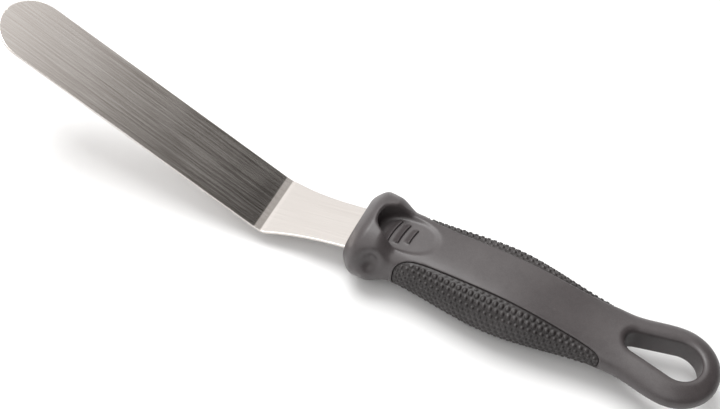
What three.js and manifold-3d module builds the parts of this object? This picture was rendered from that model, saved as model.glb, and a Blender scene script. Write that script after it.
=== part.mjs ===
// Offset spatula: a stamped, bent stainless strip moulded into a two-material handle.
//
// Millimetres. The tool lies as it rests on a table, on the underside of its handle.
// +X runs along the handle from the collar to the hanging eye, +Y is across, +Z is up.
// While it is built, x = 0 is the collar's front face and z = 0 is the handle's axis.
// The last lines move the whole tool so that its origin is under the middle of its bounding box.

import * as THREE from 'three';
import { mergeVertices } from 'three/addons/utils/BufferGeometryUtils.js';
import Module from 'manifold-3d';

const wasm = await Module();
wasm.setup();

// ---------------------------------------------------------------- driving dimensions

// Steel strip
const BLADE_LENGTH = 114;          // flat part, from the front bend to the tip
const BLADE_WIDTH = 26;
const STEEL_THICKNESS = 1;
const BLADE_RISE = 20.5;           // degrees, blade above the handle's axis
const NECK_DROP = 13;              // degrees, neck below the handle's axis
const BEND_RADIUS = 7;             // front bend, between neck and blade
const ROOT_RADIUS = 8;             // root bend, hidden in the collar
const NECK_LENGTH = 29.5;          // collar face to the front bend
const NECK_WIDTH = 19.2;           // where it enters the collar
const ROOT_BEND_AT = 1;            // middle of the root bend, inside the collar
const NECK_ROOT = 6;               // full width goes on this far inside the collar
const SHOULDER_LENGTH = 3;         // slope from the neck's root to the tang
const TANG_WIDTH = 12.5;
const TANG_TO_EYE = 12;            // end of the tang to the front of the hanging eye
const TANG_HOLE = 4.6;             // diameter of the two keying holes

// Handle moulding
const HANDLE_LENGTH = 131.5;
const COLLAR_WIDTH = 32.6;
const COLLAR_TOP = 13.6;           // above the axis
const COLLAR_PEAK = 4.8;           // full size starts here, behind the front face
const COLLAR_BACK = 9;             // and ends here
const COLLAR_EDGE = 3;             // rounding of the front edge
const COLLAR_TAPER = 2.4;          // how much narrower each side is at the front face
const COLLAR_SWEEP = 2.2;          // how far its top and underside lean back
const REST_DEPTH = 12.4;           // collar and belly reach the table, below the axis
const WAIST_AT = 17.4;
const WAIST_WIDTH = 26;
const WAIST_TOP = 9.2;
const WAIST_DEPTH = 10.4;
const BELLY_WIDTH = 32;
const BELLY_TOP = 9.6;
const BELLY_AHEAD = 4;             // ahead of the middle between the waists
const REAR_WAIST_WIDTH = 24;
const REAR_WAIST_TOP = 5.6;
const REAR_WAIST_DEPTH = 6.5;
const REAR_WAIST_TO_END = 35;
const TAIL_WIDTH = 31;
const TAIL_THICKNESS = 11.4;
const SECTION_POWER = 2.35;        // collar and tail: 2 is an ellipse, more is squarer
const SPINE_POWER = 3.2;           // flatter top between the waists
const UNDERSIDE_POWER = 2.1;       // rounder underside, from the collar to the belly

// Hanging eye, a teardrop that widens to the rear
const EYE_LENGTH = 26.6;
const EYE_FRONT_RADIUS = 4.3;
const EYE_REAR_RADIUS = 7.6;
const EYE_WALL = 6.9;              // behind the eye

// Thumb rest: a hollow behind the collar, with three crescent ribs on its floor
const SCOOP_AT = 17.9;
const SCOOP_LENGTH = 18;
const SCOOP_WIDTH = 21;
const SCOOP_FLOOR = 6.4;           // above the axis
const SCOOP_HEIGHT = 9.5;          // half height of the hollow's ellipsoid
const RIB_LENGTHS = [11, 8.6, 6];
const RIB_FIRST_AT = 13;
const RIB_PITCH = 4;
const RIB_WIDTH = 1.8;
const RIB_HEIGHT = 0.6;
const RIB_CURVE = 17;              // plan radius of the crescents

// Soft grip inlays
const GRIP_START = 18.9;           // behind the front face
const GRIP_TO_REAR_WAIST = 3.5;    // ends this far in front of the rear waist
const GRIP_FRONT_LENGTH = 24.5;    // blunt front part, the rest tapers
const GRIP_REACH_UP = 1.05;        // how far the lens reaches, as a share of the height above
const GRIP_REACH_DOWN = 0.84;      // and of the depth below the axis
const GRIP_DEPTH = 1.8;
const GRIP_FROM_MIDDLE = 9;        // the inlays stay this far from the handle's middle plane

// Core and fits
const CORE_DEPTH = 4.6;            // below the handle's surface
const CORE_BEHIND_SHOULDER = 1.5;
const REST_WALL = 2.6;             // body left between the thumb rest and the core
const CORE_PAST_TANG = 4;
const FIT_GAP = 0.3;               // between pieces that touch

// ---------------------------------------------------------------- derived places

const DEGREE = Math.PI / 180;
const BEYOND = 40;                 // how far cutters run out past the handle
const SHORTEST_EDGE = 0.002;
const tailCentre = HANDLE_LENGTH - TAIL_WIDTH / 2;
const rearWaistAt = HANDLE_LENGTH - REAR_WAIST_TO_END;
const bellyAt = (WAIST_AT + rearWaistAt) / 2 - BELLY_AHEAD;
const eyeFront = HANDLE_LENGTH - EYE_WALL - EYE_LENGTH;
const tangEnd = eyeFront - TANG_TO_EYE;
const shoulderEnd = NECK_ROOT + SHOULDER_LENGTH;
const coreFront = shoulderEnd + CORE_BEHIND_SHOULDER;
const coreRear = tangEnd + CORE_PAST_TANG;
const coreTop = SCOOP_FLOOR - REST_WALL;
const gripEnd = rearWaistAt - GRIP_TO_REAR_WAIST;

// ---------------------------------------------------------------- solids and meshes

/** Closed solid of a three.js geometry. */
function solidOf(geometry) {
  const bare = geometry.clone();
  bare.deleteAttribute('normal');
  bare.deleteAttribute('uv');
  const merged = mergeVertices(bare, 1e-4);
  return new wasm.Manifold(new wasm.Mesh({
    numProp: 3,
    vertProperties: new Float32Array(merged.attributes.position.array),
    triVerts: new Uint32Array(merged.index.array),
  }));
}

/** Named mesh of a solid, with the cuts' shortest edges closed up. */
function meshOf(name, solid, material) {
  const { vertProperties, triVerts } = solid.simplify(SHORTEST_EDGE).getMesh();
  const geometry = new THREE.BufferGeometry();
  geometry.setAttribute('position', new THREE.BufferAttribute(vertProperties, 3));
  geometry.setIndex(new THREE.BufferAttribute(triVerts, 1));
  geometry.computeVertexNormals();
  const mesh = new THREE.Mesh(geometry, material);
  mesh.name = name;
  return mesh;
}

/** Skin through closed rings of points, each ring turning anticlockwise about the way ahead. */
function loft(rings, startPoint, endPoint) {
  const count = rings[0].length;
  const points = [...rings.flat(), startPoint, endPoint];
  const start = points.length - 2;
  const end = points.length - 1;
  const last = (rings.length - 1) * count;
  const faces = [];
  for (let k = 0; k < count; k += 1) {
    const next = (k + 1) % count;
    for (let row = 0; row < last; row += count) {
      faces.push(row + k, row + next, row + count + k);
      faces.push(row + next, row + count + next, row + count + k);
    }
    faces.push(start, next, k);
    faces.push(end, last + k, last + next);
  }
  const geometry = new THREE.BufferGeometry().setFromPoints(points);
  geometry.setIndex(faces);
  return geometry;
}

/** Prism of an outline drawn in X and Y, from zLow to zHigh. */
function uprightPrism(shape, zLow, zHigh) {
  const geometry = new THREE.ExtrudeGeometry(shape, {
    depth: zHigh - zLow, bevelEnabled: false, curveSegments: 14,
  });
  return solidOf(geometry.translate(0, 0, zLow));
}

/** Everything between two places along the handle. */
function slab(xLow, xHigh) {
  const box = new THREE.BoxGeometry(xHigh - xLow, 2 * BEYOND, 2 * BEYOND);
  return solidOf(box.translate((xLow + xHigh) / 2, 0, 0));
}

// ---------------------------------------------------------------- handle's outer form

/** Value that eases from one [place, value] pair to the next. */
function easedThrough(pairs, x) {
  let value = pairs[0][1];
  for (let i = 1; i < pairs.length; i += 1) {
    const [fromX, fromValue] = pairs[i - 1];
    const [toX, toValue] = pairs[i];
    value += (toValue - fromValue) * THREE.MathUtils.smoothstep(x, fromX, toX);
  }
  return value;
}

/** Half width, height and depth from the axis, and squareness, at a place along the handle. */
function sectionAt(x) {
  const half = easedThrough([
    [0, COLLAR_WIDTH / 2 - COLLAR_TAPER],
    [COLLAR_PEAK, COLLAR_WIDTH / 2],
    [COLLAR_BACK, COLLAR_WIDTH / 2],
    [WAIST_AT, WAIST_WIDTH / 2],
    [bellyAt, BELLY_WIDTH / 2],
    [rearWaistAt, REAR_WAIST_WIDTH / 2],
    [tailCentre, TAIL_WIDTH / 2],
  ], x);
  const top = easedThrough([
    [0, COLLAR_TOP - COLLAR_TAPER],
    [COLLAR_PEAK, COLLAR_TOP],
    [COLLAR_BACK, COLLAR_TOP],
    [WAIST_AT, WAIST_TOP],
    [bellyAt, BELLY_TOP],
    [rearWaistAt, REAR_WAIST_TOP],
    [tailCentre, TAIL_THICKNESS / 2],
  ], x);
  const depth = easedThrough([
    [0, REST_DEPTH - COLLAR_TAPER],
    [COLLAR_PEAK, REST_DEPTH],
    [COLLAR_BACK, REST_DEPTH],
    [WAIST_AT, WAIST_DEPTH],
    [bellyAt, REST_DEPTH],
    [rearWaistAt, REAR_WAIST_DEPTH],
    [tailCentre, TAIL_THICKNESS / 2],
  ], x);
  const topPower = easedThrough([
    [COLLAR_BACK, SECTION_POWER],
    [WAIST_AT, SPINE_POWER],
    [bellyAt, SPINE_POWER],
    [tailCentre, SECTION_POWER],
  ], x);
  const depthPower = easedThrough([
    [bellyAt, UNDERSIDE_POWER],
    [tailCentre, SECTION_POWER],
  ], x);
  return { half, top, depth, topPower, depthPower };
}

/** Ring of points round the handle at x, shrunk by inset. */
function handleRing(x, { half, top, depth, topPower, depthPower }, inset, sides) {
  const sweep = COLLAR_SWEEP * (1 - THREE.MathUtils.smoothstep(x, COLLAR_PEAK, WAIST_AT));
  const ring = [];
  for (let k = 0; k < sides; k += 1) {
    const angle = (k / sides) * 2 * Math.PI;
    const across = Math.cos(angle);
    const up = Math.sin(angle);
    const reach = (up > 0 ? top : depth) - inset;
    const power = up > 0 ? topPower : depthPower;
    ring.push(new THREE.Vector3(
      x + sweep * Math.abs(up) ** 2,
      Math.sign(across) * Math.abs(across) ** (2 / power) * (half - inset),
      Math.sign(up) * Math.abs(up) ** (2 / power) * reach,
    ));
  }
  return ring;
}

/** The handle's outer form, or the same form shrunk by inset. */
function handleForm(inset, sides = 32, steps = 34) {
  const rings = [];
  for (const turn of [0, 30, 60, 90]) {
    const x = COLLAR_EDGE * (1 - Math.cos(turn * DEGREE));
    const edge = COLLAR_EDGE * (1 - Math.sin(turn * DEGREE));
    rings.push(handleRing(x, sectionAt(x), inset + edge, sides));
  }
  for (let i = 1; i <= steps; i += 1) {
    const x = COLLAR_EDGE + (i / steps) * (tailCentre - COLLAR_EDGE);
    rings.push(handleRing(x, sectionAt(x), inset, sides));
  }
  const tail = sectionAt(tailCentre);
  const radius = TAIL_WIDTH / 2;
  for (const turn of [15, 30, 45, 58, 70, 80]) {
    const along = Math.sin(turn * DEGREE);
    const thinning = Math.sqrt(1 - along ** 6);
    const section = {
      ...tail,
      half: radius * Math.cos(turn * DEGREE),
      top: tail.top * thinning,
      depth: tail.depth * thinning,
    };
    rings.push(handleRing(tailCentre + radius * along, section, inset * thinning, sides));
  }
  const face = new THREE.Vector3(0, 0, 0);
  const end = new THREE.Vector3(HANDLE_LENGTH - inset, 0, 0);
  return solidOf(loft(rings, face, end));
}

// ---------------------------------------------------------------- blade

/** Centre line and half width of the strip, from the end of the tang to the tip. */
function stripStations() {
  const stations = [];
  let here = { x: tangEnd, z: 0, heading: 0 };
  const mark = (half) => stations.push({ ...here, half });
  const goStraight = (length) => {
    here = {
      x: here.x - length * Math.cos(here.heading),
      z: here.z + length * Math.sin(here.heading),
      heading: here.heading,
    };
  };
  const bend = (degrees, radius, steps, half) => {
    const turn = (degrees * DEGREE) / steps;
    for (let i = 0; i < steps; i += 1) {
      const arc = radius / Math.sign(degrees);
      const heading = here.heading + turn;
      here = {
        x: here.x - arc * (Math.sin(heading) - Math.sin(here.heading)),
        z: here.z - arc * (Math.cos(heading) - Math.cos(here.heading)),
        heading,
      };
      mark(half);
    }
  };

  const tangHalf = TANG_WIDTH / 2;
  const neckHalf = NECK_WIDTH / 2;
  const bladeHalf = BLADE_WIDTH / 2;
  const corner = 2;
  mark(tangHalf - corner);
  goStraight(corner);
  mark(tangHalf);
  goStraight(tangEnd - corner - shoulderEnd);
  mark(tangHalf);
  goStraight(SHOULDER_LENGTH);
  mark(neckHalf);
  const rootTangent = ROOT_RADIUS * Math.tan((NECK_DROP / 2) * DEGREE);
  goStraight(NECK_ROOT - ROOT_BEND_AT - rootTangent);
  mark(neckHalf);
  bend(-NECK_DROP, ROOT_RADIUS, 3, neckHalf);
  const neckSteps = 9;
  for (let i = 1; i <= neckSteps; i += 1) {
    goStraight(NECK_LENGTH / neckSteps);
    mark(neckHalf + (bladeHalf - neckHalf) * (i / neckSteps) ** 2.5);
  }
  bend(NECK_DROP + BLADE_RISE, BEND_RADIUS, 6, bladeHalf);
  goStraight(BLADE_LENGTH - bladeHalf);
  mark(bladeHalf);
  const tipStart = here;
  for (const turn of [12, 24, 36, 48, 60, 70, 79, 86]) {
    here = tipStart;
    goStraight(bladeHalf * Math.sin(turn * DEGREE));
    mark(bladeHalf * Math.cos(turn * DEGREE));
  }
  return stations;
}

/** The bent strip, grown by grow on every face. */
function stripForm(grow) {
  const stations = stripStations();
  stations[0].x += grow;
  const rings = stations.map(({ x, z, heading, half }) => {
    const middle = new THREE.Vector3(x, 0, z);
    const up = new THREE.Vector3(Math.sin(heading), 0, Math.cos(heading));
    up.multiplyScalar(STEEL_THICKNESS / 2 + grow);
    const across = new THREE.Vector3(0, -(half + grow), 0);
    return [[1, -1], [1, 1], [-1, 1], [-1, -1]].map(([side, face]) => (
      middle.clone().addScaledVector(across, side).addScaledVector(up, face)
    ));
  });
  const centreOf = ({ x, z }) => new THREE.Vector3(x, 0, z);
  return solidOf(loft(rings, centreOf(stations[0]), centreOf(stations.at(-1))));
}

/** Upright round bars through both keying holes of the tang. */
function keyBars(diameter, halfHeight) {
  const tangLength = tangEnd - coreFront;
  const bars = [1, 2].map((third) => {
    const bar = new THREE.CylinderGeometry(diameter / 2, diameter / 2, 2 * halfHeight, 20);
    bar.rotateX(Math.PI / 2);
    return solidOf(bar.translate(coreFront + (tangLength * third) / 3, 0, 0));
  });
  return bars[0].add(bars[1]);
}

function makeBlade(material) {
  const strip = stripForm(0).subtract(keyBars(TANG_HOLE, BEYOND));
  return meshOf('blade', strip, material);
}

// ---------------------------------------------------------------- core

/** The core's envelope, or with a gap the hollow that holds it. */
function coreForm(gap) {
  const envelope = handleForm(CORE_DEPTH - gap, 16, 17).trimByPlane([0, 0, -1], -(coreTop + gap));
  return envelope.intersect(slab(coreFront - gap, coreRear + gap));
}

function makeCore(material) {
  const pins = keyBars(TANG_HOLE - 2 * FIT_GAP, STEEL_THICKNESS + FIT_GAP);
  const core = coreForm(0).subtract(stripForm(FIT_GAP)).add(pins);
  return meshOf('tang_core', core, material);
}

// ---------------------------------------------------------------- grip inlays

/** Lens-shaped prism out through one side of the handle: side is 1 for +Y and -1 for -Y. */
function gripPrism(side, gap) {
  const middle = GRIP_START + GRIP_FRONT_LENGTH;
  const frontLength = GRIP_FRONT_LENGTH + gap;
  const rearLength = gripEnd - middle + gap;
  const steps = 16;
  const edge = (sign) => {
    const points = [];
    for (let i = 0; i <= 2 * steps; i += 1) {
      const along = -Math.cos((i / (2 * steps)) * Math.PI);
      const x = middle + along * (along < 0 ? frontLength : rearLength);
      const { top, depth } = sectionAt(x);
      const fullness = (1 - Math.abs(along) ** 3) ** 0.25;
      const reach = sign > 0 ? top * GRIP_REACH_UP : depth * GRIP_REACH_DOWN;
      points.push(new THREE.Vector2(x, sign * (reach + gap) * fullness));
    }
    return points;
  };
  const upper = edge(1).reverse();
  const lower = edge(-1);
  const outline = new THREE.Shape([...lower, ...upper.slice(1, -1)]);
  const prism = new THREE.ExtrudeGeometry(outline, { depth: BEYOND, bevelEnabled: false });
  prism.rotateX(Math.PI / 2);
  const innerFace = GRIP_FROM_MIDDLE - gap;
  prism.translate(0, side > 0 ? innerFace + BEYOND : -innerFace, 0);
  return solidOf(prism);
}

function makeGrip(name, side, material) {
  const skin = handleForm(0).subtract(handleForm(GRIP_DEPTH));
  return meshOf(name, skin.intersect(gripPrism(side, 0)), material);
}

/** Pocket in the body for one inlay. */
function gripPocket(side) {
  return gripPrism(side, FIT_GAP).subtract(handleForm(GRIP_DEPTH + FIT_GAP));
}

// ---------------------------------------------------------------- handle body

function eyeCutter() {
  const frontCentre = eyeFront + EYE_FRONT_RADIUS;
  const rearCentre = eyeFront + EYE_LENGTH - EYE_REAR_RADIUS;
  const widening = Math.asin((EYE_REAR_RADIUS - EYE_FRONT_RADIUS) / (rearCentre - frontCentre));
  const touch = Math.PI / 2 + widening;
  const outline = new THREE.Shape();
  outline.absarc(rearCentre, 0, EYE_REAR_RADIUS, -touch, touch, false);
  outline.absarc(frontCentre, 0, EYE_FRONT_RADIUS, touch, 2 * Math.PI - touch, false);
  return uprightPrism(outline, -BEYOND, BEYOND);
}

/** Crescent in plan, its convex side to the collar. */
function ribPrism(frontX, length) {
  const centre = frontX + RIB_CURVE;
  const spread = length / (2 * RIB_CURVE);
  const outline = new THREE.Shape();
  outline.absarc(centre, 0, RIB_CURVE, Math.PI - spread, Math.PI + spread, false);
  outline.absarc(centre, 0, RIB_CURVE - RIB_WIDTH, Math.PI + spread, Math.PI - spread, true);
  return uprightPrism(outline, 0, BEYOND);
}

/** Hollow of the thumb rest, raised by lift. */
function scoopForm(lift) {
  const ball = new THREE.SphereGeometry(1, 24, 16);
  ball.rotateX(Math.PI / 2);
  ball.scale(SCOOP_LENGTH / 2, SCOOP_WIDTH / 2, SCOOP_HEIGHT);
  return solidOf(ball.translate(SCOOP_AT, 0, SCOOP_FLOOR + SCOOP_HEIGHT + lift));
}

/** What is cut away for the thumb rest: the hollow without its ribs. */
function thumbRestCutter() {
  const raised = scoopForm(RIB_HEIGHT);
  let cutter = scoopForm(0);
  RIB_LENGTHS.forEach((length, i) => {
    const rib = ribPrism(RIB_FIRST_AT - RIB_WIDTH + i * RIB_PITCH, length);
    cutter = cutter.subtract(rib.subtract(raised));
  });
  return cutter;
}

function makeBody(material) {
  const body = handleForm(0)
    .subtract(thumbRestCutter())
    .subtract(eyeCutter())
    .subtract(gripPocket(1))
    .subtract(gripPocket(-1))
    .subtract(coreForm(FIT_GAP))
    .subtract(stripForm(FIT_GAP));
  return meshOf('handle_body', body, material);
}

// ---------------------------------------------------------------- the tool

const steel = new THREE.MeshStandardMaterial({ color: 0xb8b4ae, roughness: 0.35, metalness: 1 });
const plastic = new THREE.MeshStandardMaterial({ color: 0x4a4648, roughness: 0.55, metalness: 0 });
const innerPlastic = new THREE.MeshStandardMaterial({ color: 0x2f2e30, roughness: 0.7, metalness: 0 });
const softGrip = new THREE.MeshStandardMaterial({ color: 0x3a3738, roughness: 0.85, metalness: 0 });

const spatula = new THREE.Group();
spatula.add(makeBlade(steel));
spatula.add(makeCore(innerPlastic));
spatula.add(makeBody(plastic));
spatula.add(makeGrip('grip_left', 1, softGrip));
spatula.add(makeGrip('grip_right', -1, softGrip));

const bounds = new THREE.Box3().setFromObject(spatula);
spatula.position.set(-(bounds.min.x + bounds.max.x) / 2, 0, -bounds.min.z);

export default spatula;
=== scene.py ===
import math

import bpy
import numpy as np
from mathutils import Matrix, Vector


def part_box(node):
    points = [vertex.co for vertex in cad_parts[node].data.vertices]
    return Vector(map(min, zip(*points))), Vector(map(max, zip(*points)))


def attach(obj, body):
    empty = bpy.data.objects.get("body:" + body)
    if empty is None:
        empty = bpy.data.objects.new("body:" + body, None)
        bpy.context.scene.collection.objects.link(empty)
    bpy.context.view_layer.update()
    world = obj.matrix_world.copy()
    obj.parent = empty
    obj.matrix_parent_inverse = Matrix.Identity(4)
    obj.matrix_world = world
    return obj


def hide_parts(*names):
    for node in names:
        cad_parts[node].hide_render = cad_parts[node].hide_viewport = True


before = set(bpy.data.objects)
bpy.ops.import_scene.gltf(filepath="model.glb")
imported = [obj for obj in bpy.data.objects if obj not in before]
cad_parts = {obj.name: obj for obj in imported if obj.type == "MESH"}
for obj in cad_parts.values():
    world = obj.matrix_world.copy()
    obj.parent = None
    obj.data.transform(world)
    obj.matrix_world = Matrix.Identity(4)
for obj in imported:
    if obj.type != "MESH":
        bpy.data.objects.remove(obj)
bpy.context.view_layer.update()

# Shapes are worked out in millimetres, from the collar's front face (x = 0), the middle plane
# (y = 0) and the handle's axis (z = 0), and moved to the row's frame when they become meshes.

MM = 0.001

handle_low, handle_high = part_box("handle_body")
blade_low, blade_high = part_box("blade")

# Handle moulding: the places are along the handle, the halves are half widths, and the tops and
# depths are measured up and down from the axis. A power of 2 is an ellipse, more is squarer.
HANDLE_LENGTH = (handle_high.x - handle_low.x) / MM
COLLAR_HALF = handle_high.y / MM
COLLAR_TOP = 13.6
COLLAR_PEAK = 4.8
COLLAR_BACK = 9.0
COLLAR_EDGE = 3.2
COLLAR_TAPER = 2.4
COLLAR_SWEEP = 2.2
BELLY_DEPTH = 12.4       # the collar reaches as far down
WAIST_AT = 17.4
WAIST_HALF = 13.0
WAIST_TOP = 9.2
WAIST_DEPTH = 10.4
BELLY_AT = 52.95
BELLY_HALF = 16.0
BELLY_TOP = 9.6
REAR_WAIST_TO_END = 35.0
REAR_WAIST_AT = HANDLE_LENGTH - REAR_WAIST_TO_END
REAR_WAIST_HALF = 12.0
REAR_WAIST_TOP = 5.6
REAR_WAIST_DEPTH = 6.5
TAIL_HALF = 15.5
TAIL_AT = HANDLE_LENGTH - TAIL_HALF
TAIL_HEIGHT = 5.7
SECTION_POWER = 2.35
SPINE_POWER = 3.2
UNDERSIDE_POWER = 2.1

# Hanging eye
EYE_WALL = 6.9
EYE_LENGTH = 26.6
EYE_FRONT_RADIUS = 4.3
EYE_REAR_RADIUS = 7.6
EYE_FRONT_CENTRE = HANDLE_LENGTH - EYE_WALL - EYE_LENGTH + EYE_FRONT_RADIUS
EYE_REAR_CENTRE = HANDLE_LENGTH - EYE_WALL - EYE_REAR_RADIUS
EYE_LIP = 2.6

# Thumb rest, with the crest and the half length of each rib
REST_CENTRE = 18.0
REST_HALF_LENGTH = 11.0
REST_HALF_WIDTH = 7.7
REST_POWER = 2.2
REST_FLOOR = 5.4
REST_RISE = 0.17
REST_FOOT_BLEND = 2.0
REST_RIM_BLEND = 1.4
RIBS = ((12.9, 5.2), (16.4, 4.4), (20.0, 3.2))
RIB_HEIGHT = 0.95
RIB_FOOT = 2.1
RIB_DROP = 0.35
RIB_CURVE = 26.0
RIB_LEAN = 0.12
RIB_END = 0.35

# Soft dimples behind the collar, one on each side: middle, and half size along each direction
DIMPLE_AT = (11.2, 16.9, 4.8)
DIMPLE_SIZE = (3.9, 4.6, 5.0)
DIMPLE_BLEND = 2.4

# Soft grip inlays: a lens seen from the side, kept clear of the handle's top by a straight border
GRIP_MIDDLE = 43.4
GRIP_FRONT = 24.5
GRIP_TO_REAR_WAIST = 3.5
GRIP_REAR = REAR_WAIST_AT - GRIP_TO_REAR_WAIST - GRIP_MIDDLE
GRIP_REACH_UP = 1.05
GRIP_REACH_DOWN = 0.84
GRIP_FROM_MIDDLE = 9.0
GRIP_CORNER_BLEND = 3.0
GRIP_THICKNESS = 1.3
GRIP_SUNK = 0.55
GRIP_GAP = 0.12
GRIP_BACK_GAP = 0.1
GRIP_ROUNDING = 0.35
POCKET_RIM_BLEND = 0.4
PEBBLE_PITCH = 2.2
PEBBLE_HEIGHT = 0.6
PEBBLE_WRAP_RADIUS = 13.0
PEBBLE_PLAIN_BORDER = (0.3, 1.1)

# Distance between samples of the surfaces, closer along the thumb rest
HANDLE_STEP = 0.45
REST_STEP = 0.24
REST_REACH = (9, 27)
ROUND_STEP = 0.4
GRIP_STEP = 0.27
GRIP_NEAREST = 4

# Steel strip: the lengths follow it from the tang, through the root bend, neck, crease, short flat
# and soft bend, to the blade
STEEL_THICKNESS = 1.0
BLADE_HALF = blade_high.y / MM
BLADE_RISE = math.radians(20.5)
NECK_DROP = math.radians(13)
CREASE_RADIUS = 4.0
CREASE_TURN = math.radians(27.9)
BEND_FLAT = 2.2
SOFT_RADIUS = 6.0
SOFT_TURN = NECK_DROP + BLADE_RISE - CREASE_TURN
ROOT_RADIUS = 8.0
ROOT_BEND_AT = 1.0
ROOT_TANGENT = ROOT_RADIUS * math.tan(NECK_DROP / 2)
NECK_LENGTH = 30.0
NECK_FLARE = 2.5
NECK_HALF = 9.6
NECK_ROOT = 6.0
SHOULDER = 3.0
TANG_HALF = 6.25
TANG_END = (blade_high.x - handle_low.x) / MM
TANG_HOLE_RADIUS = 2.3
TANG_HOLE_SIDES = 32
BLADE_FLAT = 112.85
STEEL_EDGE = 0.28
EDGE_SUPPORT = 0.12
CORE_FRONT = 10.5        # where the moulding round the tang begins
CREASE_PLACE = 0.1206    # metres along the strip's map

# Camera: degrees, millimetres
CAMERA_AT = (99.59, -297.48, 402.48)
CAMERA_TURN, CAMERA_TILT, CAMERA_ROLL = 17.89, 50.37, 9.53
LENS_LENGTH = 72.43
SENSOR_WIDTH = 36

# Brightness of the room by direction: -1 is towards the blade, 1 towards the hanging eye
ROOM_LEVELS = (
    (-1, 1.2), (-0.1, 1.5), (0.08, 1.6), (0.16, 0.5), (0.24, 0.01), (0.8, 0.01), (1, 0.15),
)

# Floor: metres
FLOOR_REACH = 3
FLOOR_DROP = 0.00005
FLOOR_PANELS = 8


# ---------------------------------------------------------------- helpers for forms

def ease(pairs, x):
    """Value that eases from one (place, value) pair to the next."""
    value = np.full_like(x, pairs[0][1])
    for (x0, v0), (x1, v1) in zip(pairs, pairs[1:]):
        value += (v1 - v0) * smooth_step(x, x0, x1)
    return value


def smooth_step(x, low, high):
    """0 below low, 1 above high, and level at both ends of the way between."""
    t = np.clip((x - low) / (high - low), 0, 1)
    return t * t * (3 - 2 * t)


def blend_max(a, b, width):
    """Larger of two, with the crease between them filled over a width."""
    near = np.maximum(width - np.abs(a - b), 0) / width
    return np.maximum(a, b) + near * near * width / 4


def round_max(a, b, radius):
    """Both at once, with the outer edge where they meet rounded to a radius."""
    corner = np.hypot(np.maximum(a + radius, 0), np.maximum(b + radius, 0))
    return np.minimum(np.maximum(a, b), -radius) + corner


def skin_of(form, xs, ys, zs):
    """Quad mesh over the surface where form(x, y, z) is zero, sampled on a grid of places."""
    grid = form(*np.meshgrid(xs, ys, zs, indexing="ij"))
    cells = tuple(n - 1 for n in grid.shape)
    total = np.zeros(cells + (3,))
    hits = np.zeros(cells)
    crossings = []
    for axis in range(3):
        low, high = [slice(None)] * 3, [slice(None)] * 3
        low[axis], high[axis] = slice(None, -1), slice(1, None)
        a, b = grid[tuple(low)], grid[tuple(high)]
        cross = (a < 0) != (b < 0)
        share = np.where(cross, a / np.where(cross, a - b, 1), 0)
        crossings.append((cross, a))
        p, q = (axis + 1) % 3, (axis + 2) % 3
        for step_p in (0, 1):
            for step_q in (0, 1):
                cut = [slice(None)] * 3
                cut[p] = slice(step_p, cells[p] + step_p)
                cut[q] = slice(step_q, cells[q] + step_q)
                met = cross[tuple(cut)]
                hits += met
                total[..., axis] += share[tuple(cut)] * met
                total[..., p] += step_p * met
                total[..., q] += step_q * met
    used = np.argwhere(hits > 0)
    number = np.full(cells, -1)
    number[tuple(used.T)] = np.arange(len(used))
    place = used + total[tuple(used.T)] / hits[tuple(used.T)][:, None]
    points = [np.interp(place[:, k], np.arange(len(g)), g) for k, g in enumerate((xs, ys, zs))]
    quads = []
    for axis, (cross, a) in enumerate(crossings):
        p, q = (axis + 1) % 3, (axis + 2) % 3
        at = np.argwhere(cross)
        ring = []
        for step_p, step_q in ((-1, -1), (0, -1), (0, 0), (-1, 0)):
            cell = at.copy()
            cell[:, p] += step_p
            cell[:, q] += step_q
            ring.append(number[tuple(cell.T)])
        ring = np.stack(ring, 1)
        outward = a[tuple(at.T)] < 0
        ring[~outward] = ring[~outward][:, ::-1]
        quads.append(ring)
    return settle(form, np.stack(points, 1)), np.concatenate(quads)


def settle(form, points):
    """Moves points along the form's slope until they lie on its surface."""
    step, longest_move, rounds = 0.02, 0.2, 3
    for _ in range(rounds):
        here = form(*points.T)
        slope = np.stack([
            form(*(points + step * axis).T) - here for axis in np.eye(3)
        ], 1) / step
        length = np.maximum((slope ** 2).sum(1), 0.05)
        move = -(here / length)[:, None] * slope
        shorten = np.maximum(np.linalg.norm(move, axis=1, keepdims=True) / longest_move, 1)
        points = points + move / shorten
    return points


def add_mesh(name, points, faces):
    """Smooth-shaded object from points in millimetres."""
    origin = np.array([handle_low.x / MM, 0, handle_low.z / MM + BELLY_DEPTH])
    mesh = bpy.data.meshes.new(name)
    mesh.from_pydata(((points + origin) * MM).tolist(), [], [list(map(int, f)) for f in faces])
    mesh.update()
    mesh.shade_smooth()
    piece = bpy.data.objects.new(name, mesh)
    bpy.context.scene.collection.objects.link(piece)
    return piece


# ---------------------------------------------------------------- handle

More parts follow.
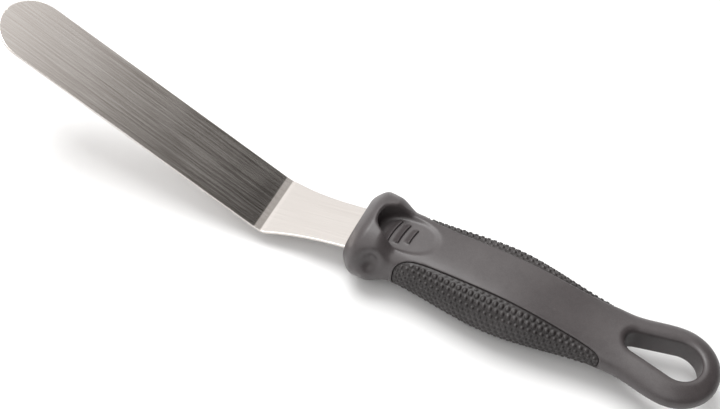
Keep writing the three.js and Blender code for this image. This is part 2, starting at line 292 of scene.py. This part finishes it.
def section(x):
    """Half width, height above the axis, depth below it, and how square each of the two is."""
    half = ease((
        (0, COLLAR_HALF - COLLAR_TAPER), (COLLAR_PEAK, COLLAR_HALF), (COLLAR_BACK, COLLAR_HALF),
        (WAIST_AT, WAIST_HALF), (BELLY_AT, BELLY_HALF), (REAR_WAIST_AT, REAR_WAIST_HALF),
        (TAIL_AT, TAIL_HALF),
    ), x)
    top = ease((
        (0, COLLAR_TOP - COLLAR_TAPER), (COLLAR_PEAK, COLLAR_TOP), (COLLAR_BACK, COLLAR_TOP),
        (WAIST_AT, WAIST_TOP), (BELLY_AT, BELLY_TOP), (REAR_WAIST_AT, REAR_WAIST_TOP),
        (TAIL_AT, TAIL_HEIGHT),
    ), x)
    depth = ease((
        (0, BELLY_DEPTH - COLLAR_TAPER), (COLLAR_PEAK, BELLY_DEPTH), (COLLAR_BACK, BELLY_DEPTH),
        (WAIST_AT, WAIST_DEPTH), (BELLY_AT, BELLY_DEPTH), (REAR_WAIST_AT, REAR_WAIST_DEPTH),
        (TAIL_AT, TAIL_HEIGHT),
    ), x)
    upper_power = ease((
        (COLLAR_BACK, SECTION_POWER), (WAIST_AT, SPINE_POWER), (BELLY_AT, SPINE_POWER),
        (TAIL_AT, SECTION_POWER),
    ), x)
    lower_power = ease(((BELLY_AT, UNDERSIDE_POWER), (TAIL_AT, SECTION_POWER)), x)
    return half, top, depth, upper_power, lower_power


def swept(x, z):
    """Place along the handle once the collar's lean is taken out."""
    _, top, depth, _, _ = section(x)
    height = np.clip(np.abs(z) / np.where(z > 0, top, depth), 0, 1.1)
    return x - COLLAR_SWEEP * (1 - smooth_step(x, COLLAR_PEAK, WAIST_AT)) * height ** 2


def handle_skin(x, y, z):
    """Signed distance, near enough, to the handle without its hollows."""
    along = swept(x, z)
    half, top, depth, upper_power, lower_power = section(along)
    past = np.maximum(x - TAIL_AT, 0)
    outward = np.hypot(past, y)
    across = outward / half
    up = np.abs(z) / np.where(z > 0, top, depth)
    power = np.where(z > 0, upper_power, lower_power)
    size = np.maximum((across ** power + up ** power) ** (1 / power), 1e-3)
    reach = np.hypot(outward, z)
    return round_max(reach * (1 - 1 / size), -along, COLLAR_EDGE)


def eye_distance(x, y):
    """Distance in plan to the teardrop of the hanging eye, negative inside it."""
    length = EYE_REAR_CENTRE - EYE_FRONT_CENTRE
    lean = (EYE_FRONT_RADIUS - EYE_REAR_RADIUS) / length
    upright = math.sqrt(1 - lean * lean)
    along, side = x - EYE_FRONT_CENTRE, np.abs(y)
    turn = upright * along - lean * side
    front = np.hypot(along, side) - EYE_FRONT_RADIUS
    rear = np.hypot(along - length, side) - EYE_REAR_RADIUS
    flank = upright * side + lean * along - EYE_FRONT_RADIUS
    return np.where(turn < 0, front, np.where(turn > upright * upright * length, rear, flank))


def rib_rise(x, y):
    """Height of the thumb ribs over the floor: a slow rise from the front and a steep drop."""
    rise = np.zeros_like(x)
    for crest, half_length in RIBS:
        u = x - crest - y * y / (2 * RIB_CURVE) - RIB_LEAN * y
        wedge = np.clip((u + RIB_FOOT) / RIB_FOOT, 0, 1) ** 1.5 * (1 - smooth_step(u, 0, RIB_DROP))
        ends = 1 - smooth_step(np.abs(y), half_length - RIB_END, half_length + RIB_END)
        rise = np.maximum(rise, wedge * ends)
    return RIB_HEIGHT * rise


def thumb_hollow(x, y, z):
    """Hollow behind the collar: steep front wall, floor that rises to the spine."""
    along = np.abs(x - REST_CENTRE) / REST_HALF_LENGTH
    side = np.abs(y) / REST_HALF_WIDTH
    wall = ((along ** REST_POWER + side ** REST_POWER) ** (1 / REST_POWER) - 1) * REST_HALF_LENGTH
    floor = REST_FLOOR + REST_RISE * (x - REST_CENTRE + REST_HALF_LENGTH) + rib_rise(x, y)
    return blend_max(wall, floor - z, REST_FOOT_BLEND)


def side_dimple(x, y, z):
    """Soft hollow behind the collar on each side."""
    places = (x, np.abs(y), z)
    reach = sum(((p - c) / r) ** 2 for p, c, r in zip(places, DIMPLE_AT, DIMPLE_SIZE)) ** 0.5
    return (reach - 1) * min(DIMPLE_SIZE)


def grip_edge(x, y, z):
    """Distance on the side of the handle to the grip's lens-shaped outline, negative inside."""
    _, top, depth, _, _ = section(x)
    length = np.where(x < GRIP_MIDDLE, GRIP_FRONT, GRIP_REAR)
    along = np.minimum(np.abs(x - GRIP_MIDDLE) / length, 1.3)
    limit = np.where(z > 0, GRIP_REACH_UP * top, GRIP_REACH_DOWN * depth)
    high = np.minimum(np.abs(z) / limit, 1.6)
    slope = np.hypot(3 * along ** 2 / length, 4 * high ** 3 / limit)
    lens = (along ** 3 + high ** 4 - 1) / np.maximum(slope, 0.05)
    return blend_max(lens, GRIP_FROM_MIDDLE - np.abs(y), GRIP_CORNER_BLEND)


def handle_form(x, y, z):
    """The handle with its thumb rest, dimples, grip pockets and hanging eye."""
    skin = handle_skin(x, y, z)
    body = blend_max(skin, -thumb_hollow(x, y, z), REST_RIM_BLEND)
    body = blend_max(body, -side_dimple(x, y, z), DIMPLE_BLEND)
    pocket = np.maximum(grip_edge(x, y, z) - GRIP_GAP, -GRIP_THICKNESS - skin)
    body = blend_max(body, -pocket, POCKET_RIM_BLEND)
    return round_max(body, -eye_distance(x, y), EYE_LIP)


def pebbles(x, y, z):
    """Staggered rows of flattened domes, laid out along and round the handle."""
    round_it = np.arctan2(z, np.abs(y)) * PEBBLE_WRAP_RADIUS
    row = 2 * math.pi / PEBBLE_PITCH
    lattice = 2 * np.cos(row * x) * np.cos(row * round_it / math.sqrt(3))
    lattice += np.cos(2 * row * round_it / math.sqrt(3))
    plain, full = PEBBLE_PLAIN_BORDER
    inside = 1 - smooth_step(grip_edge(x, y, z), -full, -plain)
    return PEBBLE_HEIGHT * smooth_step(lattice, -1.0, 1.7) * inside


def grip_form(x, y, z):
    """One inlay: pebbled outside, rounded border, and a back that follows the pocket's floor."""
    skin = handle_skin(x, y, z)
    outer = skin + GRIP_SUNK - pebbles(x, y, z)
    piece = blend_max(outer, grip_edge(x, y, z), GRIP_ROUNDING)
    return np.maximum(piece, GRIP_BACK_GAP - GRIP_THICKNESS - skin)


def make_handle_body():
    """Outer moulding, sampled more closely along the thumb rest."""
    rest_front, rest_rear = REST_REACH
    xs = np.concatenate([
        np.arange(-1, rest_front, HANDLE_STEP), np.arange(rest_front, rest_rear, REST_STEP),
        np.arange(rest_rear, HANDLE_LENGTH + 1, HANDLE_STEP),
    ])
    ys = np.arange(-COLLAR_HALF - 1, COLLAR_HALF + 1, ROUND_STEP)
    zs = np.arange(-BELLY_DEPTH - 1, COLLAR_TOP + 1, ROUND_STEP)
    piece = add_mesh("handle_moulding", *skin_of(handle_form, xs, ys, zs))
    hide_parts("handle_body")
    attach(piece, "root")
    return piece


def make_grip(name, side, node):
    """Inlay on one side of the handle: side is 1 for +Y and -1 for its mirror image."""
    xs = np.arange(GRIP_MIDDLE - GRIP_FRONT - 1, GRIP_MIDDLE + GRIP_REAR + 1, GRIP_STEP)
    ys = np.arange(GRIP_NEAREST, BELLY_HALF + 1, GRIP_STEP)
    zs = np.arange(-BELLY_DEPTH, BELLY_TOP, GRIP_STEP)
    points, faces = skin_of(grip_form, xs, ys, zs)
    if side < 0:
        points = points * (1, -1, 1)
        faces = faces[:, ::-1]
    piece = add_mesh(name, points, faces)
    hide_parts(node)
    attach(piece, "root")
    return piece


# ---------------------------------------------------------------- blade

def strip_path(distance):
    """Middle point and heading of the strip at a distance from the tang's end."""
    pieces = (
        (TANG_END - ROOT_BEND_AT - ROOT_TANGENT, 0.0),
        (ROOT_RADIUS * NECK_DROP, -NECK_DROP),
        (NECK_LENGTH, 0.0),
        (CREASE_RADIUS * CREASE_TURN, CREASE_TURN),
        (BEND_FLAT, 0.0),
        (SOFT_RADIUS * SOFT_TURN, SOFT_TURN),
        (BLADE_FLAT + 1, 0.0),
    )
    x, z, heading = TANG_END, 0.0, 0.0
    for length, turn in pieces:
        here = min(distance, length)
        bend = turn * here / length
        if bend:
            radius = here / bend
            x -= radius * (math.sin(heading + bend) - math.sin(heading))
            z -= radius * (math.cos(heading + bend) - math.cos(heading))
        else:
            x -= here * math.cos(heading)
            z += here * math.sin(heading)
        heading += bend
        distance -= here
        if distance <= 0:
            break
    return x, z, heading


def strip_outline():
    """Stations along the strip: distance, half width and the outline's sideways normal."""
    shoulder_at = TANG_END - NECK_ROOT - SHOULDER
    root_at = TANG_END - NECK_ROOT
    neck_at = TANG_END - ROOT_BEND_AT - ROOT_TANGENT + ROOT_RADIUS * NECK_DROP
    bend_at = neck_at + NECK_LENGTH
    bend_length = CREASE_RADIUS * CREASE_TURN + BEND_FLAT + SOFT_RADIUS * SOFT_TURN
    flat_at = bend_at + bend_length
    tip_at = flat_at + BLADE_FLAT - BLADE_HALF

    def half_at(s):
        shoulder = np.clip((s - shoulder_at) / SHOULDER, 0, 1)
        neck = np.clip((s - neck_at) / NECK_LENGTH, 0, 1) ** NECK_FLARE
        return (
            TANG_HALF + (NECK_HALF - TANG_HALF) * shoulder + (BLADE_HALF - NECK_HALF) * neck
        )

    stretches = (
        np.linspace(0.3, shoulder_at, 12), np.linspace(shoulder_at, root_at, 5)[1:],
        np.linspace(root_at, neck_at, 12)[1:], np.linspace(neck_at, bend_at, 40)[1:],
        np.linspace(bend_at, flat_at, 33)[1:], np.linspace(flat_at, tip_at, 30)[1:],
    )
    places = np.concatenate(stretches)
    half = half_at(places)
    slope = (half_at(places + 0.01) - half_at(places - 0.01)) / 0.02
    length = np.hypot(1, slope)
    stations = [*zip(places, half, -slope / length, 1 / length)]
    for turn in np.radians(np.linspace(0, 89, 46)[1:]):
        along, side = math.sin(turn), math.cos(turn)
        stations.append((tip_at + BLADE_HALF * along, BLADE_HALF * side, along, side))
    return stations


def edge_profile():
    """Rounded edge of the strip from its top face to its underside: (inset, height)."""
    turns = np.radians(np.linspace(0, 90, 5))
    upper = [(
        STEEL_EDGE * (1 - math.sin(t)), STEEL_THICKNESS / 2 - STEEL_EDGE * (1 - math.cos(t)),
    ) for t in turns]
    return upper + [(inset, -height) for inset, height in reversed(upper)]


def make_blade():
    """Bent strip with eased edges. Its map runs along the strip (U) and across it (V)."""
    edge = edge_profile()
    lanes = np.linspace(-1, 1, 15)
    support = STEEL_EDGE + EDGE_SUPPORT
    outline = [(inset, 1, height) for inset, height in edge]
    outline += [(support, lane, -STEEL_THICKNESS / 2) for lane in lanes[::-1]]
    outline += [(inset, -1, height) for inset, height in reversed(edge)]
    outline += [(support, lane, STEEL_THICKNESS / 2) for lane in lanes]
    points, map_points = [], []
    stations = strip_outline()
    for distance, half, normal_along, normal_side in stations:
        for inset, lane, height in outline:
            s = distance - inset * normal_along
            across = lane * (half - inset * normal_side)
            x, z, heading = strip_path(s)
            points.append((
                x + height * math.sin(heading), across, z + height * math.cos(heading),
            ))
            map_points.append((s * MM, across * MM))
    count = len(outline)
    faces = []
    for row in range(len(stations) - 1):
        for k in range(count):
            a, b = row * count + k, row * count + (k + 1) % count
            faces.append((a, b, b + count, a + count))
    last = (len(stations) - 1) * count
    faces.append(tuple(reversed(range(count))))
    faces.append(tuple(range(last, last + count)))
    piece = add_mesh("blade_strip", np.array(points), faces)
    lay_map(piece, map_points)
    bore_tang(piece)
    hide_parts("blade")
    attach(piece, "root")
    return piece


def lay_map(piece, map_points):
    """UV map from one pair of numbers for each point."""
    layer = piece.data.uv_layers.new(name="lie")
    points = np.zeros(len(piece.data.loops), int)
    piece.data.loops.foreach_get("vertex_index", points)
    layer.data.foreach_set("uv", np.array(map_points, np.float32)[points].ravel())


def bore_tang(piece):
    """Two round holes through the tang, where the handle's core passes through it."""
    sides = TANG_HOLE_SIDES
    for share in (1 / 3, 2 / 3):
        x = CORE_FRONT + (TANG_END - CORE_FRONT) * share
        turns = np.linspace(0, 2 * math.pi, sides + 1)[:-1]
        rim = np.stack([
            x + TANG_HOLE_RADIUS * np.cos(turns), TANG_HOLE_RADIUS * np.sin(turns), 0 * turns,
        ], 1)
        points = np.concatenate([rim - (0, 0, 2), rim + (0, 0, 2)])
        faces = [
            (k, (k + 1) % sides, sides + (k + 1) % sides, sides + k) for k in range(sides)
        ]
        faces += [tuple(reversed(range(sides))), tuple(range(sides, 2 * sides))]
        drill = add_mesh("drill", points, faces)
        cut = piece.modifiers.new("bore", "BOOLEAN")
        cut.object = drill
        cut.solver = "EXACT"
        bored = bpy.data.meshes.new_from_object(
            piece.evaluated_get(bpy.context.evaluated_depsgraph_get())
        )
        piece.modifiers.clear()
        piece.data = bored
        bpy.data.objects.remove(drill)


# ---------------------------------------------------------------- helpers for materials

class Nodes:
    """One node tree, with short calls to add and join its nodes."""

    def __init__(self, tree):
        self.tree = tree

    def add(self, kind, sockets=None, **settings):
        node = self.tree.nodes.new(kind)
        for key, value in settings.items():
            setattr(node, key, value)
        for key, value in (sockets or {}).items():
            self.feed(node.inputs[key], value)
        return node

    def feed(self, socket, value):
        if isinstance(value, bpy.types.NodeSocket):
            self.tree.links.new(value, socket)
        else:
            socket.default_value = value

    def math(self, operation, *values, clamp=False):
        """One sum of plain values or sockets."""
        node = self.add("ShaderNodeMath", dict(enumerate(values)), operation=operation)
        node.use_clamp = clamp
        return node.outputs[0]

    def spread(self, value, low, high, to_low=0.0, to_high=1.0, smooth=True):
        """Value carried from one range to another, held at the ends."""
        node = self.add("ShaderNodeMapRange", {
            "Value": value, "From Min": low, "From Max": high, "To Min": to_low, "To Max": to_high,
        })
        node.interpolation_type = "SMOOTHSTEP" if smooth else "LINEAR"
        return node.outputs["Result"]

    def mix(self, share, first, second):
        """Colour between two, with the given share of the second."""
        node = self.add("ShaderNodeMix", data_type="RGBA")
        self.feed(node.inputs[0], share)
        self.feed(node.inputs[6], first)
        self.feed(node.inputs[7], second)
        return node.outputs[2]

    def noise(self, vector, scale, detail=3.0, roughness=0.5):
        """Cloudy values of about 0 to 1, spread evenly round 0.5."""
        node = self.add("ShaderNodeTexNoise", {
            "Vector": vector, "Scale": scale, "Detail": detail, "Roughness": roughness,
        })
        return node.outputs["Fac"]

    def group(self, which, sockets):
        """A shared node group, with its own values here."""
        node = self.add("ShaderNodeGroup", node_tree=which)
        for key, value in sockets.items():
            self.feed(node.inputs[key], value)
        return node.outputs


def new_group(name, inputs, outputs):
    """Empty node group: its nodes, what it is given and what it puts out."""
    tree = bpy.data.node_groups.new(name, "ShaderNodeTree")
    for label, kind, value in inputs:
        socket = tree.interface.new_socket(label, in_out="INPUT", socket_type=kind)
        if value is not None:
            socket.default_value = value
    for label, kind in outputs:
        tree.interface.new_socket(label, in_out="OUTPUT", socket_type=kind)
    nodes = Nodes(tree)
    return nodes, nodes.add("NodeGroupInput").outputs, nodes.add("NodeGroupOutput").inputs


FLOAT, VECTOR = "NodeSocketFloat", "NodeSocketVector"


def fine_grain_group():
    """Small even grain, such as a moulding tool's texture. Size is in metres."""
    nodes, given, out = new_group("fine_grain", (
        ("Place", VECTOR, None), ("Size", FLOAT, 0.0004), ("Depth", FLOAT, 1.0),
    ), (("Height", FLOAT), ("Tone", FLOAT)))
    scale = nodes.math("DIVIDE", 1.0, given["Size"])
    speckle = nodes.noise(given["Place"], scale, 2.0, 0.6)
    broad = nodes.noise(given["Place"], nodes.math("MULTIPLY", scale, 0.18), 3.0)
    both = nodes.math(
        "ADD", nodes.math("MULTIPLY", speckle, 0.75), nodes.math("MULTIPLY", broad, 0.25),
    )
    nodes.feed(out["Height"], nodes.math("MULTIPLY", both, given["Depth"]))
    nodes.feed(out["Tone"], both)
    return nodes.tree


def edge_wear_group():
    """Mask that is 1 on edges that hands and drawers rub, broken up by noise."""
    nodes, given, out = new_group("edge_wear", (
        ("Place", VECTOR, None), ("Sharpness", FLOAT, 0.55), ("Amount", FLOAT, 1.0),
    ), (("Mask", FLOAT),))
    bend = nodes.add("ShaderNodeNewGeometry").outputs["Pointiness"]
    top = nodes.math("ADD", given["Sharpness"], 0.06)
    edge = nodes.spread(bend, given["Sharpness"], top)
    patch = nodes.spread(nodes.noise(given["Place"], 260.0, 4.0), 0.35, 0.7, 0.25, 1.0)
    worn = nodes.math("MULTIPLY", edge, patch)
    nodes.feed(out["Mask"], nodes.math("MULTIPLY", worn, given["Amount"], clamp=True))
    return nodes.tree


def handling_group():
    """Broad soft patches left by hands and washing. Size is in metres."""
    nodes, given, out = new_group("handling_marks", (
        ("Place", VECTOR, None), ("Size", FLOAT, 0.012), ("Amount", FLOAT, 1.0),
    ), (("Mask", FLOAT),))
    scale = nodes.math("DIVIDE", 1.0, given["Size"])
    cloud = nodes.spread(nodes.noise(given["Place"], scale, 4.0, 0.6), 0.38, 0.68)
    nodes.feed(out["Mask"], nodes.math("MULTIPLY", cloud, given["Amount"]))
    return nodes.tree


def new_material(name):
    """Material with its nodes, the shader's sockets and the object's own coordinates."""
    material = bpy.data.materials.new(name)
    material.use_nodes = True
    nodes = Nodes(material.node_tree)
    shader = material.node_tree.nodes["Principled BSDF"]
    place = nodes.add("ShaderNodeTexCoord").outputs["Object"]
    return material, nodes, shader.inputs, place


def finish_with(piece, material):
    piece.data.materials.clear()
    piece.data.materials.append(material)


def brushed_steel(groups):
    """Stainless steel brushed along the strip, with the lines fainter on the neck."""
    material, nodes, shader, place = new_material("brushed_stainless")
    lie = nodes.add("ShaderNodeUVMap", uv_map="lie").outputs["UV"]
    long_way = nodes.add("ShaderNodeMapping", {"Vector": lie, "Scale": (18, 1400, 1)})
    fine_way = nodes.add("ShaderNodeMapping", {"Vector": lie, "Scale": (55, 5200, 1)})
    lines = nodes.noise(long_way.outputs[0], 1.0, 4.0, 0.65)
    hairs = nodes.noise(fine_way.outputs[0], 1.0, 3.0, 0.6)
    brushed = nodes.math(
        "ADD", nodes.math("MULTIPLY", lines, 0.55), nodes.math("MULTIPLY", hairs, 0.45),
    )
    along_strip = nodes.add("ShaderNodeSeparateXYZ", {"Vector": lie}).outputs[0]
    on_blade = nodes.spread(along_strip, CREASE_PLACE - 0.004, CREASE_PLACE, 0.3, 1.0)
    from_middle = nodes.math("MULTIPLY", nodes.math("SUBTRACT", brushed, 0.5), on_blade)
    brushed = nodes.math("ADD", from_middle, 0.5)
    marks = nodes.group(groups["handling"], {"Place": place, "Size": 0.02, "Amount": 1.0})["Mask"]
    wear = nodes.group(groups["wear"], {"Place": place, "Sharpness": 0.56, "Amount": 0.8})["Mask"]
    groove, crest = (0.52, 0.48, 0.455, 1), (0.66, 0.635, 0.61, 1)
    handled, rubbed = (0.46, 0.44, 0.42, 1), (0.80, 0.79, 0.78, 1)
    tone = nodes.mix(nodes.spread(brushed, 0.34, 0.66), groove, crest)
    tone = nodes.mix(nodes.math("MULTIPLY", marks, 0.04), tone, handled)
    tone = nodes.mix(wear, tone, rubbed)
    rough = nodes.spread(brushed, 0.3, 0.7, 0.14, 0.23)
    nodes.feed(shader["Base Color"], tone)
    nodes.feed(shader["Roughness"], nodes.math("ADD", rough, nodes.math("MULTIPLY", marks, 0.015)))
    bump = nodes.add("ShaderNodeBump", {"Strength": 0.12, "Distance": 0.0001, "Height": brushed})
    nodes.feed(shader["Normal"], bump.outputs[0])
    nodes.feed(shader["Metallic"], nodes.spread(marks, 0.0, 1.0, 1.0, 0.985))
    shader["Anisotropic"].default_value = 0.75
    along = nodes.add("ShaderNodeTangent", direction_type="UV_MAP", uv_map="lie")
    nodes.feed(shader["Tangent"], along.outputs[0])
    return material


def moulded_plastic(name, groups, tone_low, tone_high, worn_tone, rough_low, rough_high, grain):
    """Injection-moulded plastic or rubber with a tool texture, rubbed edges and hand marks."""
    material, nodes, shader, place = new_material(name)
    texture = nodes.group(groups["grain"], {"Place": place, "Size": grain, "Depth": 1.0})
    marks = nodes.group(groups["handling"], {"Place": place, "Size": 0.014, "Amount": 1.0})["Mask"]
    wear = nodes.group(groups["wear"], {"Place": place, "Sharpness": 0.53, "Amount": 0.55})["Mask"]
    tone = nodes.mix(nodes.spread(texture["Tone"], 0.35, 0.65), tone_low, tone_high)
    tone = nodes.mix(nodes.math("MULTIPLY", marks, 0.25), tone, worn_tone)
    tone = nodes.mix(nodes.math("MULTIPLY", wear, 0.5), tone, worn_tone)
    rough = nodes.spread(texture["Tone"], 0.3, 0.7, rough_low, rough_high)
    rough = nodes.math("SUBTRACT", rough, nodes.math("MULTIPLY", marks, 0.05))
    nodes.feed(shader["Base Color"], tone)
    rough = nodes.math("SUBTRACT", rough, nodes.math("MULTIPLY", wear, 0.08))
    nodes.feed(shader["Roughness"], rough)
    bump = nodes.add("ShaderNodeBump", {
        "Strength": 0.35, "Distance": 0.00006, "Height": texture["Height"],
    })
    nodes.feed(shader["Normal"], bump.outputs[0])
    return material


def floor_material(groups):
    """Matt near-white sheet with a faint mottle."""
    material, nodes, shader, place = new_material("pale_floor")
    grain = nodes.group(groups["grain"], {"Place": place, "Size": 0.004, "Depth": 1.0})["Tone"]
    tone = nodes.mix(grain, (0.86, 0.86, 0.86, 1), (0.88, 0.88, 0.88, 1))
    nodes.feed(shader["Base Color"], tone)
    shader["Roughness"].default_value = 0.85
    shader["Specular IOR Level"].default_value = 0.2
    return material


# ---------------------------------------------------------------- floor, light and camera

def lay_floor(material):
    """Wide flat sheet just under the object."""
    mesh = bpy.data.meshes.new("floor")
    steps = np.linspace(-FLOOR_REACH, FLOOR_REACH, FLOOR_PANELS + 1)
    points = [(x, y, -FLOOR_DROP) for x in steps for y in steps]
    lines = FLOOR_PANELS + 1
    faces = [
        (row * lines + k, (row + 1) * lines + k, (row + 1) * lines + k + 1, row * lines + k + 1)
        for row in range(FLOOR_PANELS) for k in range(FLOOR_PANELS)
    ]
    mesh.from_pydata(points, [], faces)
    floor = bpy.data.objects.new("floor", mesh)
    bpy.context.scene.collection.objects.link(floor)
    floor.data.materials.append(material)


def light_room():
    """Pale room: bright towards the blade's end, dark towards the eye's end, dimmer low down."""
    world = bpy.data.worlds.new("room")
    bpy.context.scene.world = world
    world.use_nodes = True
    nodes = Nodes(world.node_tree)
    way = nodes.add("ShaderNodeTexCoord").outputs["Generated"]
    parts = nodes.add("ShaderNodeSeparateXYZ", {"Vector": way}).outputs
    ramp = nodes.add("ShaderNodeValToRGB", {"Fac": nodes.spread(parts[0], -1, 1, smooth=False)})
    elements = ramp.color_ramp.elements
    while len(elements) < len(ROOM_LEVELS):
        elements.new(0.5)
    for element, (place, level) in zip(elements, ROOM_LEVELS):
        element.position = (place + 1) / 2
        # the dimmer a part of the room, the warmer its light
        warmth = 0.02 + 0.22 * max(0.0, 1 - level)
        element.color = (level, level * (1 - warmth / 2), level * (1 - warmth), 1)
    background = world.node_tree.nodes["Background"]
    nodes.feed(background.inputs["Color"], ramp.outputs["Color"])
    nodes.feed(background.inputs["Strength"], nodes.spread(parts[2], 0.05, 0.55, 0.3, 1.0))


def hang_softbox(name, place, size, watts):
    """Rectangular lamp that faces the middle of the table."""
    lamp = bpy.data.lights.new(name, "AREA")
    lamp.shape = "RECTANGLE"
    lamp.size, lamp.size_y = size
    lamp.energy = watts
    box = bpy.data.objects.new(name, lamp)
    box.location = place
    box.rotation_euler = (-Vector(place)).to_track_quat("-Z", "Y").to_euler()
    bpy.context.scene.collection.objects.link(box)


def set_camera():
    """Camera above the near side, turned round Z, tilted down, and rolled about its own line."""
    data = bpy.data.cameras.new("camera")
    data.lens = LENS_LENGTH
    data.sensor_width = SENSOR_WIDTH
    data.clip_start = 0.01
    data.clip_end = 20
    camera = bpy.data.objects.new("camera", data)
    turn, tilt, roll = map(math.radians, (CAMERA_TURN, CAMERA_TILT, CAMERA_ROLL))
    flat = Vector((math.cos(turn), math.sin(turn), 0))
    steep = Vector((
        -math.sin(turn) * math.sin(tilt), math.cos(turn) * math.sin(tilt), math.cos(tilt),
    ))
    right = flat * math.cos(roll) + steep * math.sin(roll)
    up = steep * math.cos(roll) - flat * math.sin(roll)
    axes = Matrix((right, up, right.cross(up))).transposed()
    camera.matrix_world = Matrix.Translation(Vector(CAMERA_AT) * MM) @ axes.to_4x4()
    bpy.context.scene.collection.objects.link(camera)
    bpy.context.scene.camera = camera


set_camera()
light_room()
hang_softbox("key_softbox", place=(-0.4, 0.15, 0.95), size=(0.7, 0.6), watts=9)
hang_softbox("fill_softbox", place=(0.3, -0.7, 0.9), size=(0.8, 0.8), watts=2)

groups = {"grain": fine_grain_group(), "wear": edge_wear_group(), "handling": handling_group()}
steel = brushed_steel(groups)
handle_plastic = moulded_plastic(
    "grey_handle_plastic", groups, tone_low=(0.048, 0.041, 0.042, 1),
    tone_high=(0.062, 0.054, 0.055, 1), worn_tone=(0.10, 0.09, 0.09, 1),
    rough_low=0.34, rough_high=0.46, grain=0.00035,
)
grip_rubber = moulded_plastic(
    "dark_grip_rubber", groups, tone_low=(0.015, 0.012, 0.012, 1),
    tone_high=(0.026, 0.022, 0.022, 1), worn_tone=(0.07, 0.062, 0.062, 1),
    rough_low=0.40, rough_high=0.55, grain=0.00028,
)
core_plastic = moulded_plastic(
    "inner_core_plastic", groups, tone_low=(0.055, 0.052, 0.052, 1),
    tone_high=(0.075, 0.07, 0.07, 1), worn_tone=(0.1, 0.1, 0.1, 1),
    rough_low=0.5, rough_high=0.62, grain=0.0005,
)

lay_floor(floor_material(groups))
finish_with(make_blade(), steel)
finish_with(make_handle_body(), handle_plastic)
finish_with(make_grip("grip_pad_left", 1, "grip_left"), grip_rubber)
finish_with(make_grip("grip_pad_right", -1, "grip_right"), grip_rubber)

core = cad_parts["tang_core"]
if not core.material_slots:
    core.data.materials.append(core_plastic)
for slot in core.material_slots:
    slot.material = core_plastic

bpy.context.scene.view_settings.view_transform = "Standard"
